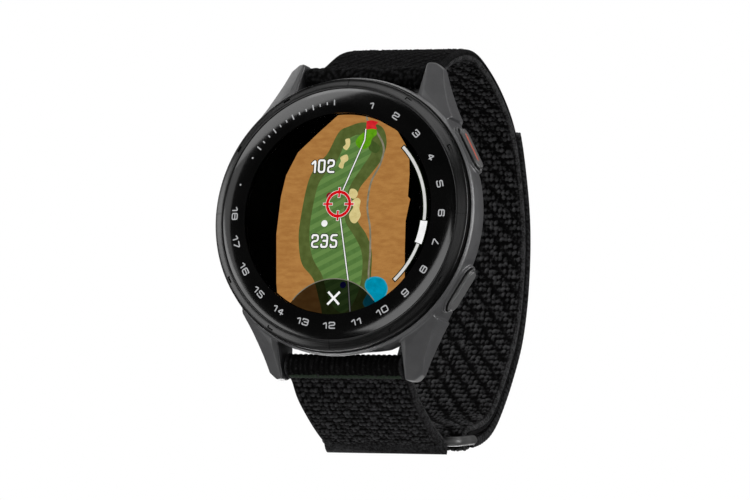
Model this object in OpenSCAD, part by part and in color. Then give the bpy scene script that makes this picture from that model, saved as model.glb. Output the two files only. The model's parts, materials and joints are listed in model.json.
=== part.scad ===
// Golf GPS watch on a knitted hook-and-loop strap, closed round the space of a wrist.
// Row frame: origin on the wrist's axis, +Z towards 12 o'clock, -Y out of the dial, +X towards 3 o'clock.
// The case is drawn in its own frame: x to 3 o'clock, y to 12 o'clock, z from the sensor face up to the glass.

/* [Case] */
// Outer diameter of the case body
case_d = 42.6; // [42:0.2:43.4]
// Thickness of the watch from the sensor face to the top of the glass
case_t = 11.4; // [11.4:0.1:12]
// Distance from the wrist's axis to the sensor face
wrist_gap = 18.6; // [18:0.2:20]
// Height of the seam between the case body and the bezel above the sensor face
case_top = 8.95; // [8.9:0.05:9]
// Radius of the hollow inside the case body
cavity_r = 18.2; // [18.1:0.1:18.4]

/* [Bezel and glass] */
// Outer radius of the bezel ring
bezel_r = 20.7; // [20.5:0.1:20.8]
// Radius of the glass
lens_r = 18.65; // [18.5:0.05:18.7]
// Thickness of the glass
lens_t = 0.85; // [0.8:0.05:0.9]
// Radius of the visible screen
screen_r = 15.2; // [14.8:0.1:15.4]

/* [Lugs and strap] */
// Clear gap between the lugs, for a 20 mm strap
lug_gap = 20.2; // [20.1:0.1:20.4]
// Distance of each lug's tip from the centre of the dial
lug_tip = 24.2; // [24:0.1:24.6]
// Width of the strap
strap_w = 19.7; // [19.5:0.1:19.8]
// Thickness of the strap's main layer
strap_t = 1.5; // [1.3:0.1:1.6]
// Thickness of the tail that folds back over the strap
tail_t = 1.1; // [1:0.1:1.2]
// Gap between the strap and its tail, filled by the hook pad
tail_gap = 0.4; // [0.4:0.05:0.5]

/* [Spring bars] */
// Radius of the spring bar's tube
bar_r = 0.75; // [0.7:0.05:0.8]
// Radius of the tips that sit in the lugs
tip_r = 0.4; // [0.35:0.05:0.45]
// How far each tip reaches into its lug
tip_reach = 1; // [0.8:0.1:1.1]
// Travel of the quick-release lever
release_travel = 1.2; // [1.1:0.1:1.3]

/* [Buttons] */
// Angle of each button from 3 o'clock
button_angle = 30; // [29:1:31]
// Length of a button along the case
button_len = 7.2; // [6.8:0.1:7.4]
// Height of a button across the case
button_h = 2.6; // [2.4:0.1:2.8]
// Travel of a button
button_travel = 0.4; // [0.3:0.05:0.4]

/* [Ring] */
// Radius of the ring's round bar
ring_bar_r = 0.75; // [0.7:0.05:0.8]
// Clear width inside the ring
ring_gap = 20.4; // [20.3:0.1:20.8]

/* [Hidden] */
$fn = 96;
eps = 0.02;      // overlap that makes two solids of one piece join
fit = 0.05;      // radial clearance of a running fit

// ---- case levels, measured up from the sensor face ----
cover_seat = 2.2;                      // face that the rear cover closes against
cavity_floor = 3.2;                    // inner side of the rear flange
shelf_low = 7.6;                       // shelf under the display frame
shelf_top = 8.25;
panel_low = 9.2;                       // underside of the display panel
panel_t = 0.95;
glass_low = case_t - lens_t;           // underside of the glass
ledge = glass_low - 0.15;              // bezel ledge, below the glass's gasket
front_hole_r = 18.05;                  // clear opening of the bezel's ledge and of the case's front
case_r = case_d / 2;
lip_r = 20.98;                         // outer radius of the thin lip round the bezel
relief_out = 19.8;                     // flat wall between the lugs, behind the strap's loop
relief_top = 8.2;
groove_low = 8.45;                     // groove for the antenna ring under the bezel
groove_in = 18.6;
groove_out = 20.3;
button_level = 5.65;                   // height of the buttons' centre line
pocket_floor = 19.7;                   // distance of the floor of each button's pocket
pocket_gap = 0.08;                     // clearance round a button in its pocket
head_low = pocket_floor + button_travel + 0.1; // underside of a button's head
head_top = 21.85;                      // outer face of a button
guard_wall = 0.35;                     // collar round each button
guard_top = 21.2;
guard_len = button_len + 2 * (pocket_gap + guard_wall);
guard_h = button_h + 2 * (pocket_gap + guard_wall);
inlay_shift = 0.45;                    // the upper button's inlay lies towards the front
stem_r = 0.7;
seal_r = 1.05;
screw_pitch_r = 15.4;                  // circle of the rear screws
screw_r = 0.5;
socket_y = -12.6;                      // centre of the charging socket
socket_w = 8.4;
socket_h = 3.2;
gasket_in = 16.85;                     // rear gasket
gasket_out = 17.75;
gasket_t = 0.3;

// ---- strap, in the row frame's (Y, Z) plane ----
bar_level = 3.8;                       // spring bars' height above the sensor face
bar_out = 22;                          // spring bars' distance from the dial's centre
bar_y = -wrist_gap - bar_level;
upper_bar = [bar_y, bar_out];
lower_bar = [bar_y, -bar_out];
ring_rear = [2.3, -29.5];              // ring bar that the long strap folds round
ring_front = [-5.4, -30.9];            // ring bar in the short strap's loop
wrap_r = 1.7;                          // outer radius of the strap's loop round a spring bar
ring_loop_r = 1.6;                     // outer radius of the short strap's loop round the ring
fold_r = 1.75;                         // outer radius of the long strap's fold round the ring
fold_hole_r = 1.1;                     // free room for the ring inside that fold
long_line = [[-22.4, 22.9], [-19.6, 23.1], [-17.1, 24.4], [-12.2, 27.3], [-7, 28.8], [-1.8, 28.3],
    [5.8, 25.2], [12.2, 20.4], [16.4, 13.5], [19.2, 6], [20.1, -2.5], [19.2, -10.4], [16.4, -16.8],
    [13.2, -22], [10.6, -25], [7.5, -26.8], [4.1, -27.9], [2.3, -28.3]];
short_line = [[-22.4, -22.9], [-20.6, -23.6], [-18, -26], [-13.6, -28.5], [-9.6, -30.3], [-5.6, -31.6]];
tail_from = 16;                        // points of long_line between which the tail runs
tail_to = 7 + 1 / 6;                    // the tail and pad end on points that the curve's pieces share
pad_from = 10 + 1 / 6;
pad_to = 7 + 1 / 3;
spline_steps = 6;                      // pieces of curve between two points

// ---- curves ----
function spline_at(p, u) =
    let (i = min(floor(u), len(p) - 2), t = u - i,
        a = p[max(i - 1, 0)], b = p[i], c = p[i + 1], d = p[min(i + 2, len(p) - 1)])
    0.5 * (2 * b + (c - a) * t + (2 * a - 5 * b + 4 * c - d) * t * t + (3 * b - a - 3 * c + d) * t * t * t);
function tangent_at(p, u) =
    let (h = 0.02, a = spline_at(p, max(u - h, 0)), b = spline_at(p, min(u + h, len(p) - 1)))
    (b - a) / norm(b - a);
function beside(p, u, out) = let (t = tangent_at(p, u)) spline_at(p, u) + out * [-t[1], t[0]];
function band(p, from, to, near, far) =
    let (n = ceil(abs(to - from) * spline_steps - 0.01))
    concat([for (k = [0:n]) beside(p, from + (to - from) * k / n, near)],
        [for (k = [n:-1:0]) beside(p, from + (to - from) * k / n, far)]);

// ---- frames ----
module case_frame() translate([0, -wrist_gap, 0]) rotate([90, 0, 0]) children();
// A profile drawn in (Y, Z) and extruded along X over a width that is centred on x = 0
module across(w) rotate([90, 0, 90]) translate([0, 0, -w / 2]) linear_extrude(w) children();
// A frame whose z axis points outwards through a button and whose x axis runs along its length
module button_frame(side) case_frame()
    rotate([0, 0, side * button_angle]) translate([0, 0, button_level]) rotate([90, 0, 90]) children();
module ring_section(r_in, r_out, low, high) rotate_extrude()
    translate([r_in, low]) square([r_out - r_in, high - low]);
module slot_prism(length, height, low, high) translate([0, 0, low]) linear_extrude(high - low) {
    square([length - height, height], center = true);
    for (s = [-1, 1]) translate([s * (length - height) / 2, 0]) circle(d = height);
}
module tube_x(centre, r, x_from, x_to) translate([x_from, centre[0], centre[1]])
    rotate([0, 90, 0]) cylinder(r = r, h = x_to - x_from);

// ---- case body ----
module case_profile() polygon([[cavity_r, cavity_floor], [16.6, cavity_floor], [16.6, cover_seat],
    [18.15, cover_seat], [18.15, 1.5], [18.7, 1.4], [19.3, 1.8], [20.1, 3.2], [case_r, 5.6],
    [case_r, 7.2], [case_r - 0.15, case_top - 0.15], [lip_r, case_top - 0.15], [lip_r, case_top + 0.4],
    [bezel_r + 0.1, case_top + 0.4], [bezel_r + 0.1, case_top], [front_hole_r, case_top],
    [front_hole_r, shelf_top], [17.2, shelf_top], [17.2, shelf_low], [cavity_r, shelf_low]]);
// Everything above a plane through a point, which rises by a slope along x and another along y
module above(point, slopes) translate(point)
    rotate([asin(slopes[1] / norm([slopes[0], slopes[1], 1])), atan(-slopes[0]), 0])
        translate([-30, -30, 0]) cube([60, 60, 20]);
// One lug on the +x, +y side: its plan and side profile, cut by flat facets
module lug() {
    inner = lug_gap / 2;
    difference() {
        intersection() {
            translate([0, 0, 1.4]) linear_extrude(8) polygon([[inner, 14], [inner, lug_tip - 0.3],
                [inner + 0.3, lug_tip], [inner + 1.2, lug_tip], [inner + 2.5, 23.2], [inner + 3.15, 21],
                [inner + 3.95, 19], [inner + 4.85, 17], [inner + 6.2, 14.6], [16, 12.5], [13, 12.5]]);
            rotate([90, 0, 90]) linear_extrude(20) polygon([[12, 1.8], [19, 2], [22, 1.5], [23.5, 1.7],
                [lug_tip, 2.9], [lug_tip, 9.2], [12, 9.2]]);
        }
        above([inner + 0.9, 22, 6.4], [-0.41, -0.48]);      // front
        above([inner, 20, 7.05], [0.35, -0.5]);             // chamfer along the strap
        above([inner + 0.95, 19.4, 7.65], [-0.587, -0.641]); // beside the bezel
        mirror([0, 0, 1]) above([inner + 4, 19.5, -3], [-0.93, -0.37]); // behind
    }
}
module case_shell() {
    rotate_extrude() case_profile();
    for (a = [45:90:315]) rotate([0, 0, a]) translate([screw_pitch_r, 0, cover_seat])
        cylinder(r = 1.4, h = 3.1);
}
// Flat cut between the lugs that leaves room for the strap's loop
module strap_relief() for (s = [-1, 1])
    translate([-lug_gap / 2, s > 0 ? relief_out : -relief_out - 5, 0]) cube([lug_gap, 5, relief_top]);
module button_guard(side) button_frame(side) difference() {
    slot_prism(guard_len, guard_h, cavity_r + 0.3, guard_top);
    slot_prism(button_len + 2 * pocket_gap, button_h + 2 * pocket_gap, pocket_floor, 23);
}
module button_cut(side) button_frame(side) {
    translate([-5.2, -3.2, 20.75]) cube([10.4, 6.1, 4]);
    slot_prism(button_len + 2 * pocket_gap, button_h + 2 * pocket_gap, pocket_floor, 23);
}
module button_bore(side) button_frame(side) {
    translate([0, 0, 17]) cylinder(r = stem_r + fit, h = 4);
    translate([0, 0, 17]) cylinder(r = seal_r + fit, h = 2.2);
}
module mid_case() color("#3a3b3d") difference() {
    union() {
        case_frame() difference() {
            union() {
                case_shell();
                difference() {
                    for (a = [0, 1], b = [0, 1]) mirror([a, 0, 0]) mirror([0, b, 0]) lug();
                    cylinder(r = cavity_r + 0.5, h = case_t);
                }
            }
            strap_relief();
            ring_section(groove_in, groove_out, groove_low, case_top + 1);
            translate([0, 0, case_top]) cylinder(r = bezel_r + 0.1, h = 3);
            for (a = [45:90:315]) rotate([0, 0, a]) translate([screw_pitch_r, 0, 0])
                cylinder(r = screw_r + 0.02, h = 5);
        }
        for (s = [-1, 1]) button_guard(s);
    }
    for (s = [-1, 1]) difference() {
        button_cut(s);
        button_frame(s) difference() {
            slot_prism(guard_len, guard_h, cavity_r, guard_top);
            slot_prism(button_len + 2 * pocket_gap, button_h + 2 * pocket_gap, pocket_floor, 23);
        }
    }
    for (s = [-1, 1]) button_bore(s);
    for (bar = [upper_bar, lower_bar]) for (s = [-1, 1])
        tube_x(bar, tip_r + fit, s * lug_gap / 2 - tip_reach - 0.2, s * lug_gap / 2 + tip_reach + 0.2);
}

// ---- front ----
module bezel() color("#26272a") case_frame() difference() {
    rotate_extrude() polygon([[front_hole_r, case_top], [bezel_r - 0.15, case_top],
        [bezel_r, case_top + 0.2], [bezel_r, 10.1], [bezel_r - 0.2, 10.45], [19.3, 11], [18.75, 11.05],
        [18.75, ledge], [front_hole_r, ledge]]);
    // short notches beside the hours and fine lines at the quarters
    for (h = [0:11]) rotate([0, 0, 30 * h]) if (h % 3 == 0)
        translate([18.4, -0.06, 10.35]) rotate([0, 18, 0]) translate([0.6, 0, 0.2]) cube([2, 0.12, 2]);
    else
        translate([19.75, -0.55, 10.55]) rotate([0, 20, 0]) cube([0.4, 1.1, 2]);
}
module lens() color("#101114", 0.4) case_frame() rotate_extrude() polygon([[0, glass_low],
    [lens_r, glass_low], [lens_r, case_t - 0.45], [lens_r - 0.15, case_t - 0.2],
    [lens_r - 0.5, case_t - 0.05], [lens_r - 1, case_t], [0, case_t]]);
module lens_gasket() color("#151515") case_frame() ring_section(front_hole_r + 0.05, lens_r, ledge, glass_low);
module dial_ring() color("#0c0c0d") case_frame() ring_section(screen_r, front_hole_r - fit, 10.2, glass_low - 0.03);
module display_panel() color("#20301c") case_frame() translate([0, 0, panel_low])
    cylinder(r = screen_r + 0.7, h = panel_t);
module display_frame() color("#2f3336") case_frame() difference() {
    union() {
        translate([0, 0, shelf_top]) cylinder(r = front_hole_r - fit, h = 0.9);
        ring_section(screen_r + 0.85, front_hole_r - fit, shelf_top, panel_low + panel_t);
    }
    translate([-3.2, -15.9, shelf_top - 1]) cube([6.4, 1, 3]);
}
module display_flex() color("#b4762a") case_frame() {
    translate([-3, -15.6, 7.2]) cube([6, 0.15, 2]);
}
module antenna_ring() color("#b08d57") case_frame() ring_section(groove_in + fit, groove_out - fit, groove_low + fit,
    case_top - eps);

// ---- inside ----
board_low = 6.4;
board_t = 0.8;
module main_board() color("#1d5b3a") case_frame() difference() {
    translate([0, 0, board_low]) cylinder(r = 16.8, h = board_t);
    for (a = [60:60:360]) rotate([0, 0, a]) translate([16.9, 0, board_low - 1]) cylinder(r = 0.9, h = 3);
}
module board_shields() color("silver") case_frame() translate([0, 0, board_low + board_t]) {
    translate([-12, 1, 0]) cube([13, 9, 0.7]);
    translate([2.5, -2, 0]) cube([9, 11, 0.7]);
    translate([-10, -10.5, 0]) cube([15, 9.5, 0.7]);
}
module battery() color("#9aa0a6") case_frame() translate([-14.4, -9.2, cavity_floor + 0.1]) cube([21.9, 18.4, 2.9]);
module vibration_motor() color("#c9ccd0") case_frame() translate([12.2, 0, cavity_floor + 0.3]) cylinder(r = 4, h = 2.7);
module sensor_board() color("#16324f") case_frame() translate([0, 0, 2.35]) cylinder(r = 8.5, h = 0.6);
module sensor_leds() color("#5fae4b") case_frame() translate([0, 0, 1.7]) {
    for (a = [0:90:270]) rotate([0, 0, a]) translate([2.6, -0.6, 0]) cube([1.2, 1.2, 0.65]);
    translate([-1.1, -1.1, 0]) cube([2.2, 2.2, 0.65]);
}
module sensor_window() color("#101010") case_frame() rotate_extrude() polygon([[0, 0], [6.1, 0],
    [6.3, 0.15], [6.3, 0.8], [0, 0.8]]);
module rear_cover() color("#1d1e20") case_frame() difference() {
    rotate_extrude() polygon([[6.35, 0.15], [8.8, 0.15], [13, 0.75], [17.3, 1.1], [18.1, 1.5],
        [18.1, cover_seat], [15, cover_seat], [12.5, 1.75], [5.6, 1.6], [5.6, 0.8], [6.35, 0.8]]);
    for (a = [45:90:315]) rotate([0, 0, a]) translate([screw_pitch_r, 0, 0]) {
        cylinder(r = screw_r + 0.05, h = 4);
        cylinder(r = 1.15, h = 1.55);
    }
    translate([-socket_w / 2, socket_y - socket_h / 2, 0]) cube([socket_w, socket_h, 4]);
    ring_section(gasket_in - eps, gasket_out + eps, cover_seat - gasket_t - eps, cover_seat + 1);
}
module rear_gasket() color("#202020") case_frame() ring_section(gasket_in, gasket_out, cover_seat - gasket_t, cover_seat);
module rear_screws() color("#6b6e72") case_frame() for (a = [45:90:315])
    rotate([0, 0, a]) translate([screw_pitch_r, 0, 0]) difference() {
        union() {
            translate([0, 0, 1.1]) cylinder(r = 1.1, h = 0.43);
            translate([0, 0, 1.5]) cylinder(r = screw_r, h = 3.2);
        }
        translate([0, 0, 1]) cylinder(r = 0.45, h = 0.4, $fn = 6);
    }
module charge_socket() color("#28292b") case_frame() translate([0, socket_y, 0]) difference() {
    union() {
        translate([-socket_w / 2 + fit, -socket_h / 2 + fit, 1.15])
            cube([socket_w - 2 * fit, socket_h - 2 * fit, 1.6]);
        translate([-socket_w / 2 - 0.6, -socket_h / 2 - 0.6, cover_seat + fit])
            cube([socket_w + 1.2, socket_h + 1.2, 0.5]);
    }
    translate([-3.6, -1, 0]) cube([7.2, 2, 1.75]);
    for (x = [-2.4:1.6:2.4]) translate([x, 0, 0]) cylinder(r = 0.42, h = 4);
}
module charge_pins() color("#c8a24a") case_frame() for (x = [-2.4:1.6:2.4])
    translate([x, socket_y, 1.5]) cylinder(r = 0.4, h = 1.5);

// ---- buttons ----
module button(side) button_frame(side) {
    difference() {
        union() {
            slot_prism(button_len, button_h, head_low, head_top - 0.3);
            slot_prism(button_len - 0.6, button_h - 0.6, head_top - 0.4, head_top);
        }
        translate([0, 0, head_low - 1]) cylinder(r = seal_r, h = 2.2);
        if (side > 0) translate([0, inlay_shift, 0]) slot_prism(4.8, 0.6, head_top - 0.2, head_top + 1);
    }
    difference() {
        translate([0, 0, 17.3]) cylinder(r = stem_r, h = 4.2);
        for (u = [17.75, 18.7]) difference() {
            translate([0, 0, u]) cylinder(r = 1, h = u > 18 ? 0.5 : 0.3);
            translate([0, 0, u - 1]) cylinder(r = 0.5, h = 3);
        }
    }
}
module button_seal(side) button_frame(side) ring_section(0.52, seal_r, 18.75, 19.15);
module button_clip(side) button_frame(side) difference() {
    ring_section(0.52, 1.4, 17.78, 18.02);
    translate([-0.4, 0, 17]) cube([0.8, 3, 2]);
}
// The spring is drawn at its pressed length, as a stack of turns on the pocket's floor
module button_spring(side) button_frame(side) for (k = [0:3])
    ring_section(stem_r + 0.07, seal_r - 0.04, pocket_floor + 0.02 + 0.3 * k, pocket_floor + 0.24 + 0.3 * k);
module button_switch(side) button_frame(side) {
    translate([-1.8, -0.75, 15.2]) cube([3.6, 1.5, 1.4]);
    translate([0, 0, 16.5]) cylinder(r = 0.6, h = 0.35);
}
module upper_button() color("#4a4b4e") button(1);
module lower_button() color("#4a4b4e") button(-1);
module upper_button_accent() color("#d9482b") button_frame(1)
    translate([0, inlay_shift, 0]) slot_prism(4.76, 0.56, head_top - 0.2, head_top - 0.02);
module upper_button_seal() color("#181818") button_seal(1);
module lower_button_seal() color("#181818") button_seal(-1);
module upper_button_spring() color("#b9bcc0") button_spring(1);
module lower_button_spring() color("#b9bcc0") button_spring(-1);
module upper_button_clip() color("#9da0a4") button_clip(1);
module lower_button_clip() color("#9da0a4") button_clip(-1);
module upper_button_switch() color("#d8d5cc") button_switch(1);
module lower_button_switch() color("#d8d5cc") button_switch(-1);

// ---- quick-release spring bars: a tube, a fixed tip, a sprung pin with its lever ----
tube_end = 8.6;             // right end of the tube
tube_start = -9.2;          // left end of the tube
lever_x = 5.6;              // lever's place at rest
pin_bore_r = 0.5;
module bar_tube(bar) difference() {
    tube_x(bar, bar_r, tube_start, tube_end);
    tube_x(bar, pin_bore_r, -1, tube_end + 1);
    tube_x(bar, tip_r, tube_start - 1, -6);
    translate([lever_x - release_travel - 0.45, bar[0], bar[1] - 0.42])
        cube([release_travel + 0.9, 2, 0.84]);
}
module bar_tip(bar) tube_x(bar, tip_r, -lug_gap / 2 - tip_reach, -6);
module release_pin(bar) {
    tube_x(bar, tip_r, 2.6, lug_gap / 2 + tip_reach);
    translate([lever_x, bar[0], bar[1]]) rotate([-90, 0, 0]) cylinder(r = 0.35, h = 2.7);
}
module bar_spring(bar) for (k = [0:5]) translate([-0.9 + 0.36 * k, bar[0], bar[1]]) rotate([0, 90, 0])
    difference() {
        cylinder(r = pin_bore_r - 0.02, h = 0.22);
        translate([0, 0, -1]) cylinder(r = 0.25, h = 3);
    }
module upper_bar_tube() color("#8b8e93") bar_tube(upper_bar);
module lower_bar_tube() color("#8b8e93") bar_tube(lower_bar);
module upper_bar_tip() color("#a9acb1") bar_tip(upper_bar);
module lower_bar_tip() color("#a9acb1") bar_tip(lower_bar);
module upper_bar_spring() color("#c2c5c9") bar_spring(upper_bar);
module lower_bar_spring() color("#c2c5c9") bar_spring(lower_bar);
module upper_release_pin() color("#a9acb1") release_pin(upper_bar);
module lower_release_pin() color("#a9acb1") release_pin(lower_bar);

// ---- strap ----
// Opening in the strap's loop for the lever of the quick release
module lever_slot(bar) translate([lever_x - release_travel - 0.7, bar[0], bar[1] - 0.75])
    cube([release_travel + 1.4, 3, 1.5]);
module strap_long() color("#17181a") difference() {
    across(strap_w) {
        polygon(band(long_line, 0, len(long_line) - 1, -strap_t / 2, strap_t / 2));
        translate(upper_bar) circle(r = wrap_r);
        translate(ring_rear) circle(r = fold_r);
    }
    tube_x(upper_bar, bar_r + fit, -strap_w, strap_w);
    tube_x(ring_rear, fold_hole_r, -strap_w, strap_w);
    lever_slot(upper_bar);
}
module strap_tail() color("#17181a") across(strap_w)
    polygon(band(long_line, tail_from, tail_to, strap_t / 2 + tail_gap, strap_t / 2 + tail_gap + tail_t));
module hook_pad() color("#0e0e0f") across(strap_w - 4)
    polygon(band(long_line, pad_from, pad_to, strap_t / 2 + 0.1, strap_t / 2 + tail_gap));
module strap_short() color("#17181a") difference() {
    across(strap_w) {
        polygon(band(short_line, 0, len(short_line) - 1, -strap_t / 2, strap_t / 2));
        translate(lower_bar) circle(r = wrap_r);
        translate(ring_front) circle(r = ring_loop_r);
    }
    tube_x(lower_bar, bar_r + fit, -strap_w, strap_w);
    tube_x(ring_front, ring_bar_r + fit, -strap_w, strap_w);
    lever_slot(lower_bar);
}

// ---- ring: a round bar bent to a rectangle with rounded corners ----
ring_corner = 1.4;
module strap_ring() {
    run = norm(ring_rear - ring_front);
    half = ring_gap / 2 + ring_bar_r;
    color("#55575b") translate([0, ring_front[0], ring_front[1]])
        rotate([atan2(ring_rear[1] - ring_front[1], ring_rear[0] - ring_front[0]), 0, 0])
            for (m = [0, 1]) mirror([m, 0, 0]) {
                for (y = [0, run]) translate([0, y, 0]) rotate([0, 90, 0])
                    cylinder(r = ring_bar_r, h = half - ring_corner);
                translate([half, ring_corner, 0]) rotate([-90, 0, 0])
                    cylinder(r = ring_bar_r, h = run - 2 * ring_corner);
                translate([half - ring_corner, run - ring_corner, 0]) rotate_extrude(angle = 90)
                    translate([ring_corner, 0]) circle(r = ring_bar_r);
                translate([half - ring_corner, ring_corner, 0]) rotate([0, 0, -90]) rotate_extrude(angle = 90)
                    translate([ring_corner, 0]) circle(r = ring_bar_r);
            }
}

mid_case();
bezel();
lens();
lens_gasket();
dial_ring();
display_panel();
display_frame();
display_flex();
antenna_ring();
main_board();
board_shields();
battery();
vibration_motor();
sensor_board();
sensor_leds();
sensor_window();
rear_cover();
rear_gasket();
rear_screws();
charge_socket();
charge_pins();
upper_button();
upper_button_accent();
upper_button_seal();
upper_button_spring();
upper_button_clip();
upper_button_switch();
lower_button();
lower_button_seal();
lower_button_spring();
lower_button_clip();
lower_button_switch();
upper_bar_tube();
upper_bar_tip();
upper_bar_spring();
upper_release_pin();
lower_bar_tube();
lower_bar_tip();
lower_bar_spring();
lower_release_pin();
strap_long();
strap_tail();
hook_pad();
strap_short();
strap_ring();
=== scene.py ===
"""Looks of a golf GPS watch with a knitted strap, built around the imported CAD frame.

Lengths in this script are millimetres unless a name says otherwise; mesh data is written in metres.
Case frame: x to 3 o'clock, y to 12 o'clock, z out of the dial from the sensor face.
"""
import json
import math

import bpy
import numpy as np
from mathutils import Matrix, Quaternion, Vector

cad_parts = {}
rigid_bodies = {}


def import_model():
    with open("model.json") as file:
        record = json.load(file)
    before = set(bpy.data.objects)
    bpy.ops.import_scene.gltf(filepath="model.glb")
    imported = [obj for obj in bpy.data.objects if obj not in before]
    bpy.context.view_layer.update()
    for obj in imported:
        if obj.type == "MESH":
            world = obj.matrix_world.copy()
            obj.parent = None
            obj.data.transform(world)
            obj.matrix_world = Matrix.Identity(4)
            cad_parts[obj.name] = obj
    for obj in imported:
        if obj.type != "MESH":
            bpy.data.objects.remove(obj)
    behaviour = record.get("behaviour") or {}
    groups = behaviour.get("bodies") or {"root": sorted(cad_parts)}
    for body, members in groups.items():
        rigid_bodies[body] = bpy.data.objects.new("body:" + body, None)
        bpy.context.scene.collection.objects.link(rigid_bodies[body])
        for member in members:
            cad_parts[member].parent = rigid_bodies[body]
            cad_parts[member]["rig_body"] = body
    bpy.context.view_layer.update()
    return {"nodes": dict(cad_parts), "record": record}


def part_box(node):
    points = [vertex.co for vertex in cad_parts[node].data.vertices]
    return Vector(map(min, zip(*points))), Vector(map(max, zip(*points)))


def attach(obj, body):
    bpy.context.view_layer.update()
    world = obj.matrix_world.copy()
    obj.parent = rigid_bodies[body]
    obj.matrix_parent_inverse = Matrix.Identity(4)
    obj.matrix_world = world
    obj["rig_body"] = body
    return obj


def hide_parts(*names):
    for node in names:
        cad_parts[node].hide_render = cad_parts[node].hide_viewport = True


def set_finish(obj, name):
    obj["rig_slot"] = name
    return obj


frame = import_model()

MM = 0.001
nodes = frame["nodes"]
scene = bpy.context.scene
face_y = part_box("sensor_window")[1].y / MM        # the case frame's zero level, on the row frame's Y axis
glass_top = face_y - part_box("lens")[0].y / MM
glass_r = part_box("lens")[1].x / MM
screen_top = face_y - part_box("display_panel")[0].y / MM
bezel_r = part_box("bezel")[1].x / MM
bezel_low = face_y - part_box("bezel")[1].y / MM
COVER_MORE, SEAL_GAP = 0.4, 0.12     # the visual glass is this much larger than the CAD's lens, then a seal
cover_r = glass_r + COVER_MORE
bezel_inner = cover_r + SEAL_GAP
screen_r = 15.2


# ---- camera, light and floor ----
def make_camera():
    azimuth, elevation, roll = [math.radians(v) for v in (24.598, -8.958, 4.082)]
    back = Vector((math.sin(azimuth) * math.cos(elevation), -math.cos(azimuth) * math.cos(elevation),
                   math.sin(elevation)))
    level = Vector((math.cos(azimuth), math.sin(azimuth), 0))
    above = back.cross(level)
    right = level * math.cos(roll) + above * math.sin(roll)
    up = -level * math.sin(roll) + above * math.cos(roll)
    dial_centre = Vector((0, (face_y - glass_top) * MM, 0))
    target = dial_centre + right * 0.005666 - up * 0.005518
    camera = bpy.data.objects.new("camera", bpy.data.cameras.new("camera"))
    scene.collection.objects.link(camera)
    camera.matrix_world = Matrix.Translation(target + back * 0.7848) @ Matrix(
        (right, up, back)).transposed().to_4x4()
    camera.data.lens, camera.data.sensor_width = 252.14, 36
    camera.data.clip_start, camera.data.clip_end = 0.01, 100
    scene.camera = camera


def softbox(name, azimuth, elevation, distance, width, height, power, roll=0.0):
    """An area light that faces the watch; azimuth in degrees from -Y towards +X, sizes in metres."""
    data = bpy.data.lights.new(name, "AREA")
    data.shape, data.size, data.size_y, data.energy = "RECTANGLE", width, height, power
    light = bpy.data.objects.new(name, data)
    around, above = math.radians(azimuth), math.radians(elevation)
    direction = Vector((math.sin(around) * math.cos(above), -math.cos(around) * math.cos(above), math.sin(above)))
    light.location = direction * distance
    facing = direction.to_track_quat("Z", "Y")
    light.rotation_euler = (facing @ Quaternion((0, 0, 1), math.radians(roll))).to_euler()
    scene.collection.objects.link(light)


def make_world():
    world = bpy.data.worlds.new("studio")
    world.use_nodes = True
    scene.world = world
    tree = world.node_tree
    backdrop = tree.nodes["Background"]
    backdrop.inputs["Color"].default_value = (1, 1, 1, 1)
    dim = tree.nodes.new("ShaderNodeBackground")
    dim.inputs["Color"].default_value = (1, 1, 1, 1)
    dim.inputs["Strength"].default_value = 0.02
    path = tree.nodes.new("ShaderNodeLightPath")
    choose = tree.nodes.new("ShaderNodeMixShader")
    tree.links.new(path.outputs["Is Camera Ray"], choose.inputs["Fac"])
    tree.links.new(dim.outputs[0], choose.inputs[1])
    tree.links.new(backdrop.outputs[0], choose.inputs[2])
    tree.links.new(choose.outputs[0], tree.nodes["World Output"].inputs["Surface"])
    scene.view_settings.view_transform = "Standard"


# ---- materials ----
def srgb(*levels):
    """A display colour of 0 to 255 a channel as linear light, with alpha."""
    if len(levels) == 1:
        levels *= 3
    scaled = [v / 255 for v in levels]
    return tuple(v / 12.92 if v <= 0.04045 else ((v + 0.055) / 1.055) ** 2.4 for v in scaled) + (1.0,)


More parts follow.
